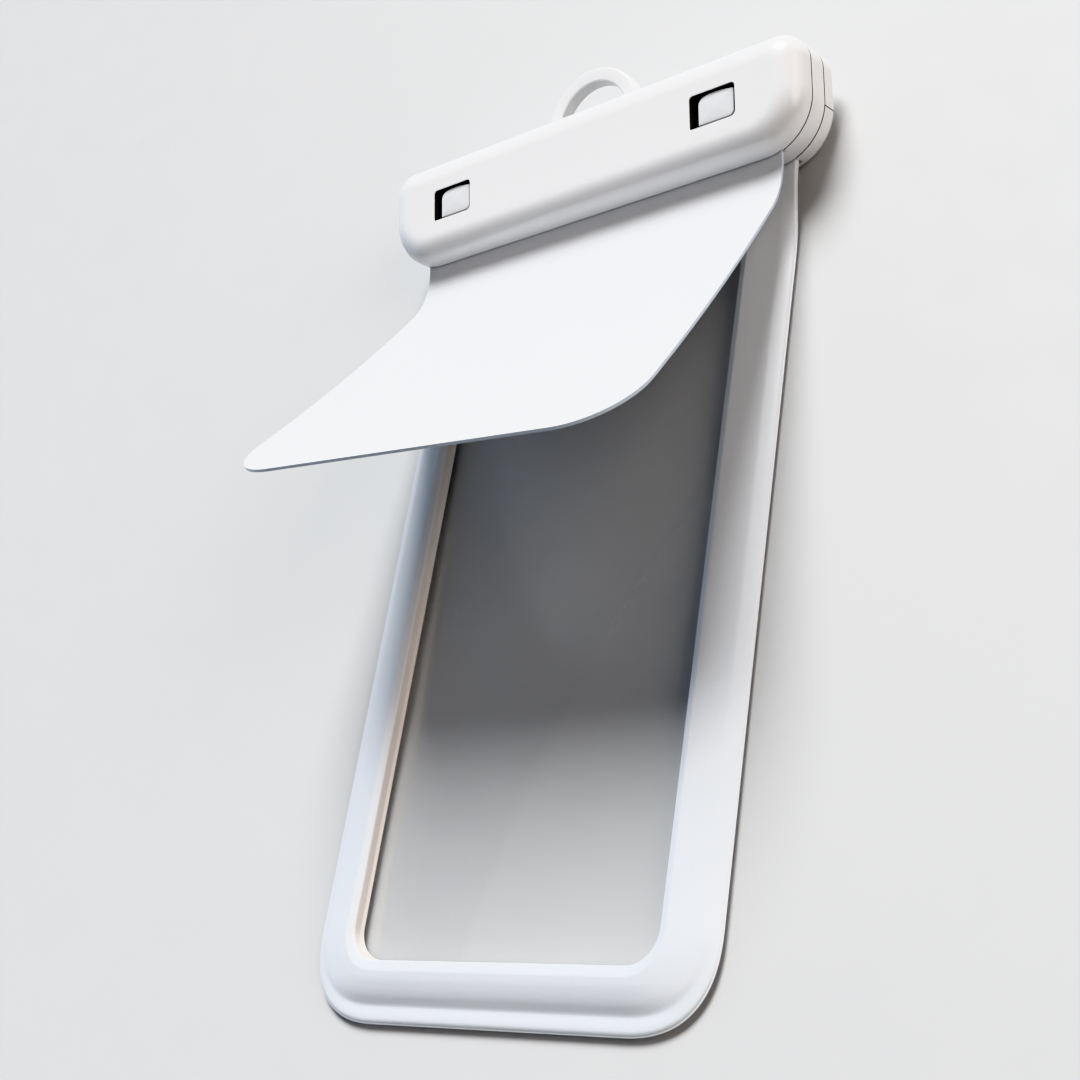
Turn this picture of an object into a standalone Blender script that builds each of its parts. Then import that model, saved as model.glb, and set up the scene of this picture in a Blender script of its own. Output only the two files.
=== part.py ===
"""Waterproof phone pouch, lying open on its back.

A padded rim on a clear film makes a shallow tray. Its neck is held in the rear jaw of a hard clasp.
The front jaw swings on two pins along the clasp's top edge and carries the cover film, which curls up.
Metres, +Z up, +X to the right, +Y from the tray's bottom to the clasp. The origin is in the middle of
the pouch's outline, on the surface that it lies on.
"""
import math

import bmesh
import bpy
from mathutils import Matrix, Vector

MM = 0.001
GAP = 0.3 * MM                  # between two pieces that touch

# Tray
TRAY_LENGTH = 203.6 * MM        # bottom edge to the clasp's lower edge
TRAY_HALF_WIDTH = 57.2 * MM
BAY_HALF_WIDTH = 44.0 * MM      # inner wall of the rim
BAY_CORNER = 8.0 * MM
BOTTOM_RIM = 13.6 * MM          # rim's width at the bottom
CORNER_FILL = 1.3 * MM          # rim's extra width in the middle of a corner
FILM = 0.8 * MM                 # floor and cover film
RIM_HEIGHT = 3.9 * MM           # above its own underside
FLANGE_HEIGHT = 0.5 * MM        # widest line of the rim, above its underside
NECK_RUN = 22.0 * MM            # length over which the rim flattens into the neck
NECK_THICK = 1.0 * MM
NECK_DEPTH = 8.0 * MM           # how far neck and cover film reach into the clasp

# Clasp, in its own frame: x along it, y up from its lower edge, z out of its front
CLASP_TILT = math.radians(14.5)
CLASP_HALF_WIDTH = 66.0 * MM
CLASP_HEIGHT = 28.5 * MM
LOWER_CORNER = 13.5 * MM
UPPER_CORNER = 6.8 * MM
FRONT_THICK = 7.5 * MM          # front plate, above the cover film's middle
MIDDLE_THICK = 5.6 * MM         # middle plate, below it
REAR_THICK = 6.1 * MM
FRONT_ROUND = 5.5 * MM
REAR_ROUND = 2.6 * MM
STRIP_HEIGHT = 11.8 * MM
POCKET_TOP = 24.0 * MM
POCKET_SIDE = 8.0 * MM          # wall beside the front plate's pocket
FRONT_WALL = 2.3 * MM

# Lanyard loop
LOOP_INNER = 11.0 * MM
LOOP_BAND = 3.8 * MM
LOOP_BELOW_EDGE = 1.6 * MM      # centre of its arc, below the clasp's top edge
LOOP_SET_BACK = 0.6 * MM
LOOP_THICK = 4.1 * MM

# Latches
WINDOW_FROM_END = 23.5 * MM     # middle of a window, from the clasp's end
WINDOW_Y = 14.4 * MM
WINDOW_SIZE = (13.1 * MM, 8.7 * MM)
LATCH_RECESS = 0.6 * MM
LATCH_FACE_HEIGHT = 7.8 * MM
LATCH_TRAVEL = 1.6 * MM
LATCH_SIDE_GAP = 0.8 * MM       # right of the latch, when locked
LATCH_FREE_GAP = 0.5 * MM       # left of it, when open
LATCH_PLATE = 1.6 * MM
LATCH_SHOULDER = 1.4 * MM        # of its plate, beyond the window all round
TONGUE_SIZE = (6.0 * MM, 2.6 * MM)
TONGUE_ABOVE = 1.6 * MM         # above the window's middle
TONGUE_REACH = 2.7 * MM         # into the rear jaw
TONGUE_ROOM = 0.8 * MM
RAIL_WIDTH = 1.5 * MM

# Gasket
GASKET_Y = 3.4 * MM
GASKET_SIZE = (2.2 * MM, 0.95 * MM)
GASKET_PROUD = 0.02 * MM

# Hinges
HINGE_FROM_END = 10.0 * MM      # outer end of a hinge, from the clasp's end
HINGE_LENGTH = 36.0 * MM
END_KNUCKLE = 7.0 * MM
KNUCKLE_RADIUS = 2.3 * MM
KNUCKLE_GAP = 0.4 * MM
PIN_RADIUS = 1.0 * MM
PIN_ROOM = 0.25 * MM

# Cover film
FLAP_LENGTH = 106.2 * MM        # from the clasp's lower edge
FLAP_HALF_WIDTH = 57.2 * MM
FLAP_CORNER = 16.8 * MM
FLAP_BEND = 23.3 * MM
FLAP_RISE = math.radians(28.6)
FLAP_TWIST = math.radians(2.9)  # the left side rises this much more, the right side less
FLAP_CURL = math.radians(6.5) / (80 * MM)

# Derived places
SEAM = GAP / 2
FRONT_FACE = FRONT_THICK
MIDDLE_BACK = -MIDDLE_THICK
REAR_FACE = MIDDLE_BACK - GAP
REAR_BACK = REAR_FACE - REAR_THICK + GAP
FILM_ROOM = FILM / 2 + GAP
NECK_TOP = REAR_FACE
NECK_UNDER = NECK_TOP - NECK_THICK
FILM_NECK_MIDDLE = NECK_UNDER - GAP - FILM / 2
STRIP_SEAT = FILM_NECK_MIDDLE - FILM / 2 - GAP
WINDOW_X = CLASP_HALF_WIDTH - WINDOW_FROM_END
HINGE_FROM = CLASP_HALF_WIDTH - HINGE_FROM_END - HINGE_LENGTH
HINGE_Y = CLASP_HEIGHT
HINGE_Z = MIDDLE_BACK - GAP / 2
POCKET_LOW = WINDOW_Y - WINDOW_SIZE[1] / 2 - LATCH_SHOULDER - GAP
LOOP_Y = CLASP_HEIGHT - LOOP_BELOW_EDGE
LOOP_TOP = LOOP_Y + LOOP_INNER + LOOP_BAND
LOOP_BACK = -LOOP_SET_BACK - LOOP_THICK
SIN_TILT = math.sin(CLASP_TILT)
COS_TILT = math.cos(CLASP_TILT)
TOTAL_LENGTH = TRAY_LENGTH + LOOP_TOP * COS_TILT - LOOP_BACK * SIN_TILT
TRAY_BOTTOM = -TOTAL_LENGTH / 2
CLASP_Y = TRAY_BOTTOM + TRAY_LENGTH
CLASP_Z = -REAR_BACK * COS_TILT - REAR_ROUND * (SIN_TILT + COS_TILT - 1)
RIM_UNDER = FILM + GAP
RIM_WIDTH = TRAY_HALF_WIDTH - BAY_HALF_WIDTH
BAY_BOTTOM = TRAY_BOTTOM + BOTTOM_RIM

PARTS = "waterproof_phone_pouch"
TOOLS = "cutters"


def start_scene():
    """Remove what is in the scene and make the two collections."""
    for old in list(bpy.data.objects):
        bpy.data.objects.remove(old, do_unlink=True)
    for name in (PARTS, TOOLS):
        bpy.context.scene.collection.children.link(bpy.data.collections.new(name))


def make_material(name, colour, roughness, transmission=0.0):
    """Plain plastic, rubber or film."""
    material = bpy.data.materials.new(name)
    material.use_nodes = True
    shader = material.node_tree.nodes["Principled BSDF"]
    shader.inputs["Base Color"].default_value = (*colour, 1.0)
    shader.inputs["Roughness"].default_value = roughness
    shader.inputs["Metallic"].default_value = 0.0
    shader.inputs["Transmission Weight"].default_value = transmission
    return material


def make_empty(name, parent=None, location=(0, 0, 0), tilt=0.0):
    """An axis or a frame that pieces hang on."""
    empty = bpy.data.objects.new(name, None)
    empty.parent = parent
    empty.location = location
    empty.rotation_euler = (tilt, 0, 0)
    bpy.data.collections[PARTS].objects.link(empty)
    return empty


def make_object(name, mesh, frame, material=None):
    """A piece when it has a material, and otherwise a hidden tool that cuts or joins.

    frame is an empty and the point of the clasp's frame that the empty sits at, or None for the world.
    """
    thing = bpy.data.objects.new(name, mesh)
    if frame:
        thing.parent, anchor = frame
        thing.location = -Vector(anchor)
    if material:
        mesh.materials.append(material)
        bpy.data.collections[PARTS].objects.link(thing)
    else:
        thing.hide_render = True
        thing.display_type = "WIRE"
        bpy.data.collections[TOOLS].objects.link(thing)
    return thing


def finish_mesh(name, shape):
    """Turn a bmesh into a mesh with its faces pointing out."""
    bmesh.ops.recalc_face_normals(shape, faces=shape.faces)
    mesh = bpy.data.meshes.new(name)
    shape.to_mesh(mesh)
    shape.free()
    return mesh


def box_mesh(name, x, y, z, edge=0.0):
    """A block between pairs of limits, with rounded edges if asked."""
    shape = bmesh.new()
    size = (x[1] - x[0], y[1] - y[0], z[1] - z[0])
    middle = Vector(((x[0] + x[1]) / 2, (y[0] + y[1]) / 2, (z[0] + z[1]) / 2))
    bmesh.ops.create_cube(shape, size=1, matrix=Matrix.LocRotScale(middle, None, size))
    if edge:
        bmesh.ops.bevel(shape, geom=shape.edges[:], offset=edge, segments=2, affect="EDGES", profile=0.5)
    return finish_mesh(name, shape)


def rod_mesh(name, radius, x, y, z):
    """A round bar along x."""
    shape = bmesh.new()
    middle = Vector(((x[0] + x[1]) / 2, y, z))
    turn = Matrix.Rotation(math.pi / 2, 4, "Y")
    bmesh.ops.create_cone(shape, cap_ends=True, segments=24, radius1=radius, radius2=radius,
                          depth=x[1] - x[0], matrix=Matrix.Translation(middle) @ turn)
    return finish_mesh(name, shape)


def arc(centre, radius, start, end, steps):
    """Points of a round stretch, angles in degrees."""
    angles = [math.radians(start + (end - start) * i / steps) for i in range(steps + 1)]
    return [(centre[0] + radius * math.cos(a), centre[1] + radius * math.sin(a)) for a in angles]


def clasp_outline():
    """The outline that all layers of the clasp share."""
    width = CLASP_HALF_WIDTH
    points = arc((LOWER_CORNER - width, LOWER_CORNER), LOWER_CORNER, 180, 270, 8)
    points += arc((width - LOWER_CORNER, LOWER_CORNER), LOWER_CORNER, 270, 360, 8)
    points += arc((width - UPPER_CORNER, CLASP_HEIGHT - UPPER_CORNER), UPPER_CORNER, 0, 90, 6)
    points += arc((UPPER_CORNER - width, CLASP_HEIGHT - UPPER_CORNER), UPPER_CORNER, 90, 180, 6)
    return points


def slab_mesh(name, outline, z_low, z_high):
    """A flat outline with a thickness, closed as one mesh."""
    curve = bpy.data.curves.new(name, "CURVE")
    curve.dimensions = "2D"
    curve.fill_mode = "BOTH"
    curve.extrude = (z_high - z_low) / 2
    spline = curve.splines.new("POLY")
    spline.points.add(len(outline) - 1)
    for point, (x, y) in zip(spline.points, outline):
        point.co = (x, y, 0, 1)
    spline.use_cyclic_u = True
    carrier = bpy.data.objects.new(name, curve)
    bpy.data.collections[TOOLS].objects.link(carrier)
    graph = bpy.context.evaluated_depsgraph_get()
    raw = bpy.data.meshes.new_from_object(carrier.evaluated_get(graph))
    bpy.data.objects.remove(carrier, do_unlink=True)
    shape = bmesh.new()
    shape.from_mesh(raw)
    bmesh.ops.remove_doubles(shape, verts=shape.verts, dist=1e-6)
    bmesh.ops.dissolve_limit(shape, angle_limit=math.radians(0.5), verts=shape.verts, edges=shape.edges)
    bmesh.ops.translate(shape, verts=shape.verts, vec=(0, 0, (z_low + z_high) / 2))
    return finish_mesh(name, shape)


def round_rim(mesh, z_level, radius, segments):
    """Round the outer edge of a slab at one face."""
    shape = bmesh.new()
    shape.from_mesh(mesh)
    rim = [edge for edge in shape.edges if all(abs(v.co.z - z_level) < 1e-6 for v in edge.verts)]
    bmesh.ops.bevel(shape, geom=rim, offset=radius, segments=segments, affect="EDGES", profile=0.5)
    bmesh.ops.recalc_face_normals(shape, faces=shape.faces)
    shape.to_mesh(mesh)
    shape.free()
    return mesh


def combine(piece, tools, operation):
    """Cut a piece with its tools, or join them to it."""
    for tool in tools:
        step = piece.modifiers.new(tool.name, "BOOLEAN")
        step.operation = operation
        step.object = tool
        step.solver = "EXACT"


def shade_round(piece):
    """Smooth shading with sharp corners kept."""
    piece.data.shade_smooth()
    piece.data.set_sharp_from_angle(angle=math.radians(35))


def from_clasp(x, y, z):
    """A point of the clasp's frame in the world."""
    return Vector((x, CLASP_Y + y * COS_TILT - z * SIN_TILT, CLASP_Z + y * SIN_TILT + z * COS_TILT))


def hinge_spans(side):
    """Limits along x of one hinge's two rear knuckles and of its front one between them."""
    start = HINGE_FROM
    end = HINGE_FROM + HINGE_LENGTH
    rear = [(start, start + END_KNUCKLE), (end - END_KNUCKLE, end)]
    front = [(start + END_KNUCKLE + KNUCKLE_GAP, end - END_KNUCKLE - KNUCKLE_GAP)]
    mirror = [[(-b, -a) for a, b in spans] for spans in (rear, front)]
    return (rear, front) if side > 0 else mirror


def add_knuckles(piece, own, other, frame):
    """Clear the way for the other jaw's knuckles, grow this jaw's own, and bore them for the pin."""
    room = []
    knuckles = []
    for i, (low, high) in enumerate(other):
        grown = (low - KNUCKLE_GAP, high + KNUCKLE_GAP)
        mesh = rod_mesh("room", KNUCKLE_RADIUS + GAP, grown, HINGE_Y, HINGE_Z)
        room.append(make_object(f"{piece.name}_knuckle_room_{i}", mesh, frame))
    for i, limits in enumerate(own):
        mesh = rod_mesh("knuckle", KNUCKLE_RADIUS, limits, HINGE_Y, HINGE_Z)
        knuckles.append(make_object(f"{piece.name}_knuckle_{i}", mesh, frame))
    combine(piece, room, "DIFFERENCE")
    combine(piece, knuckles, "UNION")
    reach = HINGE_FROM + HINGE_LENGTH + GAP
    bore = rod_mesh("bore", PIN_RADIUS + PIN_ROOM, (-reach, reach), HINGE_Y, HINGE_Z)
    combine(piece, [make_object(f"{piece.name}_pin_bore", bore, frame)], "DIFFERENCE")


def window_limits(side, grow=0.0):
    """Limits along x and y of a window, made larger all round by grow."""
    x = side * WINDOW_X
    wide, high = WINDOW_SIZE[0] / 2 + grow, WINDOW_SIZE[1] / 2 + grow
    return (x - wide, x + wide), (WINDOW_Y - high, WINDOW_Y + high)


def tongue_limits(side, grow=0.0, travel=0.0):
    """Limits along x and y of a latch's tongue, with room around it and for its travel to the left."""
    x = side * WINDOW_X
    y = WINDOW_Y + TONGUE_ABOVE
    wide, high = TONGUE_SIZE[0] / 2 + grow, TONGUE_SIZE[1] / 2 + grow
    return (x - wide - travel, x + wide), (y - high, y + high)


def build_front_plate(frame, material):
    """Front moulding: rounded front edge, a pocket behind its wall, two windows, a seat for the film."""
    slab = slab_mesh("front_plate", clasp_outline(), SEAM, FRONT_FACE)
    mesh = round_rim(slab, FRONT_FACE, FRONT_ROUND, 4)
    plate = make_object("front_plate", mesh, frame, material)
    side = CLASP_HALF_WIDTH - POCKET_SIDE
    depth = (SEAM - GAP, FRONT_FACE - FRONT_WALL)
    pocket = box_mesh("pocket", (-side, side), (POCKET_LOW, POCKET_TOP), depth)
    tools = [make_object("front_pocket", pocket, frame)]
    seat = box_mesh("seat", (-FLAP_HALF_WIDTH - GAP, FLAP_HALF_WIDTH + GAP), (-GAP, NECK_DEPTH + GAP),
                    (SEAM - GAP, FILM_ROOM))
    tools.append(make_object("front_film_seat", seat, frame))
    for side_name, sign in (("left", -1), ("right", 1)):
        x, y = window_limits(sign)
        hole = box_mesh("window", x, y, (FRONT_FACE - 2 * FRONT_WALL, FRONT_FACE + GAP))
        tools.append(make_object(f"window_{side_name}", hole, frame))
    combine(plate, tools, "DIFFERENCE")
    shade_round(plate)


def build_middle_plate(frame, material):
    """Second moulding: lanyard loop, rails for the latches, slots for their tongues, gasket groove."""
    mesh = slab_mesh("middle_plate", clasp_outline(), MIDDLE_BACK, -SEAM)
    plate = make_object("middle_plate", mesh, frame, material)
    loop = arc((0, LOOP_Y), LOOP_INNER + LOOP_BAND, 0, 180, 20)
    loop += arc((0, LOOP_Y), LOOP_INNER, 180, 0, 16)
    loop_mesh = slab_mesh("loop", loop, LOOP_BACK, -LOOP_SET_BACK)
    joined = [make_object("lanyard_loop", loop_mesh, frame)]
    cuts = []
    rail_top = FRONT_FACE - FRONT_WALL - LATCH_PLATE - 2 * GAP
    for side_name, sign in (("left", -1), ("right", 1)):
        x, y = window_limits(sign, LATCH_SHOULDER)
        low_rail = box_mesh("rail", x, (y[0], y[0] + RAIL_WIDTH), (-SEAM - GAP, rail_top))
        high_rail = box_mesh("rail", x, (y[1] - RAIL_WIDTH, y[1]), (-SEAM - GAP, rail_top))
        joined.append(make_object(f"low_rail_{side_name}", low_rail, frame))
        joined.append(make_object(f"high_rail_{side_name}", high_rail, frame))
        x, y = tongue_limits(sign, TONGUE_ROOM, LATCH_TRAVEL)
        slot = box_mesh("slot", x, y, (MIDDLE_BACK - GAP, 0))
        cuts.append(make_object(f"tongue_slot_{side_name}", slot, frame))
    width = FLAP_HALF_WIDTH + GAP
    seat = box_mesh("seat", (-width, width), (-GAP, NECK_DEPTH + GAP), (-FILM_ROOM, 0))
    cuts.append(make_object("middle_film_seat", seat, frame))
    groove_y = (GASKET_Y - GAP, GASKET_Y + GASKET_SIZE[0] + GAP)
    groove_top = MIDDLE_BACK - GASKET_PROUD + GASKET_SIZE[1] + GAP
    width = TRAY_HALF_WIDTH + GAP
    groove = box_mesh("groove", (-width, width), groove_y, (MIDDLE_BACK - GAP, groove_top))
    cuts.append(make_object("gasket_groove", groove, frame))
    combine(plate, joined, "UNION")
    combine(plate, cuts, "DIFFERENCE")
    left_rear, left_front = hinge_spans(-1)
    right_rear, right_front = hinge_spans(1)
    add_knuckles(plate, left_front + right_front, left_rear + right_rear, frame)
    shade_round(plate)


def build_gasket(frame, material):
    """Silicone strip in the middle plate's groove."""
    low = MIDDLE_BACK - GASKET_PROUD
    width = (-TRAY_HALF_WIDTH, TRAY_HALF_WIDTH)
    mesh = box_mesh("mouth_gasket", width, (GASKET_Y, GASKET_Y + GASKET_SIZE[0]), (low, low + GASKET_SIZE[1]))
    make_object("mouth_gasket", mesh, frame, material)


def build_latch(side_name, sign, frame, material):
    """Sliding latch: its face in the window, a plate behind the wall and a tongue into the rear jaw."""
    window_x, window_y = window_limits(sign)
    face_x = (window_x[0] + LATCH_TRAVEL + LATCH_FREE_GAP, window_x[1] - LATCH_SIDE_GAP)
    face_y = (WINDOW_Y - LATCH_FACE_HEIGHT / 2, WINDOW_Y + LATCH_FACE_HEIGHT / 2)
    plate_top = FRONT_FACE - FRONT_WALL - GAP
    plate_low = plate_top - LATCH_PLATE
    plate_x = (window_x[0] - LATCH_SHOULDER + LATCH_TRAVEL, window_x[1] + LATCH_SHOULDER)
    plate_y = (window_y[0] - LATCH_SHOULDER + GAP, window_y[1] + LATCH_SHOULDER - GAP)
    latch = make_object(f"latch_{side_name}", box_mesh("latch", plate_x, plate_y, (plate_low, plate_top)),
                        frame, material)
    face = box_mesh("face", face_x, face_y, (plate_low + GAP, FRONT_FACE - LATCH_RECESS), 0.5 * MM)
    tongue_x, tongue_y = tongue_limits(sign)
    tongue = box_mesh("tongue", tongue_x, tongue_y, (REAR_FACE - TONGUE_REACH, plate_low + GAP))
    combine(latch, [make_object(f"latch_face_{side_name}", face, frame),
                    make_object(f"latch_tongue_{side_name}", tongue, frame)], "UNION")


def build_rear_jaw(frame, material):
    """Two rear mouldings: a strip that carries the tray's neck, and a cover that carries the hinges."""
    def moulding(name, cut_from, cut_to):
        mesh = round_rim(slab_mesh(name, clasp_outline(), REAR_BACK, REAR_FACE), REAR_BACK, REAR_ROUND, 5)
        piece = make_object(name, mesh, frame, material)
        side = CLASP_HALF_WIDTH + GAP
        rest = box_mesh("rest", (-side, side), (cut_from, cut_to), (REAR_BACK - GAP, REAR_FACE + GAP))
        combine(piece, [make_object(f"{name}_rest", rest, frame)], "DIFFERENCE")
        return piece

    strip = moulding("neck_strip", STRIP_HEIGHT, CLASP_HEIGHT + GAP)
    width = TRAY_HALF_WIDTH + GAP
    seat = box_mesh("seat", (-width, width), (-GAP, NECK_DEPTH + GAP), (STRIP_SEAT, REAR_FACE + GAP))
    combine(strip, [make_object("neck_seat", seat, frame)], "DIFFERENCE")
    shade_round(strip)
    cover = moulding("rear_cover", -GAP, STRIP_HEIGHT + GAP)
    pockets = []
    for side_name, sign in (("left", -1), ("right", 1)):
        x, y = tongue_limits(sign, TONGUE_ROOM, LATCH_TRAVEL)
        pocket = box_mesh("pocket", x, y, (REAR_FACE - TONGUE_REACH - GAP, REAR_FACE + GAP))
        pockets.append(make_object(f"tongue_pocket_{side_name}", pocket, frame))
    combine(cover, pockets, "DIFFERENCE")
    left_rear, left_front = hinge_spans(-1)
    right_rear, right_front = hinge_spans(1)
    add_knuckles(cover, left_rear + right_rear, left_front + right_front, frame)
    shade_round(cover)


def build_pins(frame, material):
    """The two hinge pins."""
    for side_name, sign in (("left", -1), ("right", 1)):
        ends = sorted((sign * (HINGE_FROM + GAP), sign * (HINGE_FROM + HINGE_LENGTH - GAP)))
        mesh = rod_mesh("pin", PIN_RADIUS, ends, HINGE_Y, HINGE_Z)
        shade_round(make_object(f"hinge_pin_{side_name}", mesh, frame, material))


def sheet_columns(half_width, corner, steps=4, middle=6):
    """Places across a sheet, and how much shorter each is because of the round corners."""
    edge = [(half_width - corner * (1 - math.sin(a)), corner * (1 - math.cos(a)))
            for a in (math.pi / 2 * i / steps for i in range(steps, 0, -1))]
    straight = half_width - corner
    flat = [(straight - 2 * straight * i / middle, 0.0) for i in range(middle + 1)]
    return edge + flat + [(-x, cut) for x, cut in reversed(edge)]


def sheet_mesh(name, columns, rows, place):
    """A grid laid by place(x, share along the column, shortening)."""
    shape = bmesh.new()
    grid = [[shape.verts.new(place(x, row / rows, cut)) for row in range(rows + 1)] for x, cut in columns]
    for a, b in zip(grid, grid[1:]):
        for i in range(rows):
            shape.faces.new((a[i], a[i + 1], b[i + 1], b[i]))
    return finish_mesh(name, shape)


def thicken(piece, thickness):
    """Give a sheet its thickness, half to each side."""
    step = piece.modifiers.new("thickness", "SOLIDIFY")
    step.thickness = thickness
    step.offset = 0.0
    piece.data.shade_smooth()


def flap_point(x, s):
    """The cover film's middle at distance s from the clasp's lower edge, negative inside the clasp."""
    if s <= 0:
        return from_clasp(x, -s, 0)
    rise = FLAP_RISE - FLAP_TWIST * x / FLAP_HALF_WIDTH
    turn = min(s / FLAP_BEND, CLASP_TILT + rise)
    heading = turn - CLASP_TILT
    out = FLAP_BEND * (math.sin(heading) + SIN_TILT)
    up = FLAP_BEND * (COS_TILT - math.cos(heading))
    rest = s - FLAP_BEND * turn
    bow = FLAP_CURL * rest * rest / 2
    out += rest * math.cos(rise) - bow * math.sin(rise)
    up += rest * math.sin(rise) + bow * math.cos(rise)
    return Vector((x, CLASP_Y - out, CLASP_Z + up))


def build_flap(frame_world, material):
    """Cover film: held in the clasp, bending up over the tray, with round lower corners."""
    def place(x, share, cut):
        length = FLAP_LENGTH - cut + NECK_DEPTH
        return flap_point(x, share * length - NECK_DEPTH)

    mesh = sheet_mesh("front_flap", sheet_columns(FLAP_HALF_WIDTH, FLAP_CORNER), 26, place)
    flap = bpy.data.objects.new("front_flap", mesh)
    mesh.materials.append(material)
    bpy.data.collections[PARTS].objects.link(flap)
    mesh.transform(frame_world.inverted())
    thicken(flap, FILM)
    return flap


def rim_section(share_bottom):
    """Rim section as (share of its width, height above its underside), sides to bottom."""
    side = [(0, 0), (0, 0.8), (0.03, 0.94), (0.08, 1.0), (0.16, 0.97), (0.42, 0.79), (0.74, 0.54), (0.85, 0.37),
            (0.95, 0.22)]
    bottom = [(0, 0), (0, 0.78), (0.05, 0.88), (0.19, 1.0), (0.29, 0.94), (0.48, 0.7), (0.64, 0.38), (0.76, 0.22),
              (0.94, 0.21)]
    mixed = [(a + (c - a) * share_bottom, (b + (d - b) * share_bottom) * RIM_HEIGHT)
             for (a, b), (c, d) in zip(side, bottom)]
    return mixed + [(1.0, FLANGE_HEIGHT), (0.985, 0)]


def neck_section():
    """The flat neck: the same points, with heights above its underside."""
    shares = [0, 0, 0.03, 0.08, 0.16, 0.42, 0.74, 0.85, 0.95, 1.0, 0.985]
    heights = [0, 0.8, 0.94, 1, 1, 1, 1, 1, 0.95, 0.6, 0]
    return [(share, height * NECK_THICK) for share, height in zip(shares, heights)]


def rim_half():
    """Sections of the left half, from inside the clasp down to the middle of the bottom."""
    sections = []
    for y in (NECK_DEPTH, 0):
        sections.append([from_clasp(-BAY_HALF_WIDTH - RIM_WIDTH * share, y, NECK_UNDER + height)
                         for share, height in neck_section()])
    straight = rim_section(0)
    start_y = CLASP_Y - NECK_RUN
    for step in (1, 2, 3, 4, 5, 6):
        along = step / 6
        blend = along * along * (3 - 2 * along)
        ring = []
        for (share, height), neck in zip(straight, sections[1]):
            flat = Vector((-BAY_HALF_WIDTH - RIM_WIDTH * share, 0, RIM_UNDER + height))
            point = neck.lerp(flat, blend)
            point.y = neck.y + (start_y - neck.y) * along
            ring.append(point)
        sections.append(ring)
    centre = Vector((BAY_CORNER - BAY_HALF_WIDTH, BAY_BOTTOM + BAY_CORNER, 0))
    corner_steps = 10
    for step in range(corner_steps + 1):
        angle = math.pi + math.pi / 2 * step / corner_steps
        share_bottom = step / corner_steps
        eased = share_bottom * share_bottom * (3 - 2 * share_bottom)
        width = RIM_WIDTH + (BOTTOM_RIM - RIM_WIDTH) * eased + CORNER_FILL * math.sin(2 * angle) ** 2
        outward = Vector((math.cos(angle), math.sin(angle), 0))
        base = centre + Vector((0, 0, RIM_UNDER))
        sections.append([base + outward * (BAY_CORNER + width * share) + Vector((0, 0, height))
                         for share, height in rim_section(share_bottom)])
    return sections


def build_rim(material):
    """Soft raised rim: one moulding round both sides and the bottom, flattened into the neck."""
    half = rim_half()
    other = [[Vector((-p.x, p.y, p.z)) for p in ring] for ring in reversed(half)]
    shape = bmesh.new()
    rings = [[shape.verts.new(p) for p in ring] for ring in half + other]
    for a, b in zip(rings, rings[1:]):
        for i in range(len(a)):
            j = (i + 1) % len(a)
            shape.faces.new((a[i], a[j], b[j], b[i]))
    shape.faces.new(rings[0])
    shape.faces.new(reversed(rings[-1]))
    rim = make_object("padded_rim", finish_mesh("padded_rim", shape), None, material)
    shade_round(rim)


def build_back_film(material):
    """Clear floor under the rim, rising into the clasp at the neck."""
    width = TRAY_HALF_WIDTH - GAP
    corner = BAY_CORNER + (RIM_WIDTH + BOTTOM_RIM) / 2
    neck_start = CLASP_Y - NECK_RUN

    def place(x, share, cut):
        low = TRAY_BOTTOM + GAP + cut
        reach = CLASP_Y - low
        along = share * (reach + NECK_DEPTH)
        if along > reach:
            return from_clasp(x, along - reach, FILM_NECK_MIDDLE)
        seat = from_clasp(x, 0, FILM_NECK_MIDDLE)
        y = low + along
        if y <= neck_start:
            return Vector((x, y, FILM / 2))
        part = (y - neck_start) / NECK_RUN
        rise = part * part * (3 - 2 * part)
        return Vector((x, y + (seat.y - CLASP_Y) * part, FILM / 2 + (seat.z - FILM / 2) * rise))

    mesh = sheet_mesh("back_film", sheet_columns(width, corner), 52, place)
    thicken(make_object("back_film", mesh, None, material), FILM)


def build_pouch():
    """All pieces, the clasp's in its tilted frame and the front jaw's on the hinge axis."""
    start_scene()
    shell = make_material("hard_white_plastic", (0.93, 0.93, 0.94), 0.22)
    soft = make_material("soft_white_rim", (0.88, 0.89, 0.91), 0.38)
    cover = make_material("white_cover_film", (0.94, 0.94, 0.95), 0.32)
    clear = make_material("clear_film", (0.95, 0.97, 0.98), 0.08, 0.9)
    rubber = make_material("grey_silicone", (0.35, 0.36, 0.38), 0.6)
    steel = make_material("steel", (0.62, 0.62, 0.63), 0.3)
    steel.node_tree.nodes["Principled BSDF"].inputs["Metallic"].default_value = 1.0

    clasp = make_empty("clasp_frame", None, (0, CLASP_Y, CLASP_Z), CLASP_TILT)
    axis = (0, HINGE_Y, HINGE_Z)
    hinge = make_empty("front_jaw_hinge", clasp, axis)
    fixed = (clasp, (0, 0, 0))
    swinging = (hinge, axis)

    build_front_plate(swinging, shell)
    build_middle_plate(swinging, shell)
    build_gasket(swinging, rubber)
    build_latch("left", -1, swinging, shell)
    build_latch("right", 1, swinging, shell)
    clasp_world = Matrix.Translation((0, CLASP_Y, CLASP_Z)) @ Matrix.Rotation(CLASP_TILT, 4, "X")
    flap = build_flap(clasp_world, cover)
    flap.parent = hinge
    flap.location = -Vector(axis)
    build_rear_jaw(fixed, shell)
    build_pins(fixed, steel)
    build_rim(soft)
    build_back_film(clear)


build_pouch()
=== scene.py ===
"""Looks of the waterproof phone pouch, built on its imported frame: fine clasp, soft rim, films, light, camera."""
import math

import bmesh
import bpy
from mathutils import Matrix, Vector


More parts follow.
